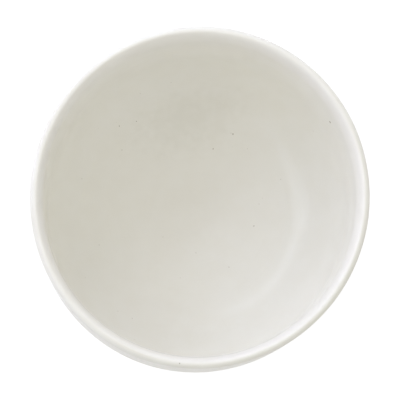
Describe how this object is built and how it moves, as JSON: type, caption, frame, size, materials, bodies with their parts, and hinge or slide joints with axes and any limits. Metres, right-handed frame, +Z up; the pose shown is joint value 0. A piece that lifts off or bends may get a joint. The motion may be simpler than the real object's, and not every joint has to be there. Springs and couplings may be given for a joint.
{
  "type": "soup cup",
  "caption": "Round handleless soup cup in glazed ceramic, with a straight wall, a rounded lip, a deep curved floor and a bare clay foot ring to stand on.",
  "frame": {"origin": "on the table, under the middle of the cup", "axes": "+Z up along the cup's turning axis; X and Y are free, because the cup is round"},
  "size_m": [0.12, 0.12, 0.066],
  "materials": {
    "bare_clay": "matte",
    "ivory_glaze": "gloss"
  },
  "bodies": {
    "root": {"clay_body": "bare_clay", "inside_glaze": "ivory_glaze", "outside_glaze": "ivory_glaze", "underside_glaze": "ivory_glaze"}
  },
  "joints": []
}
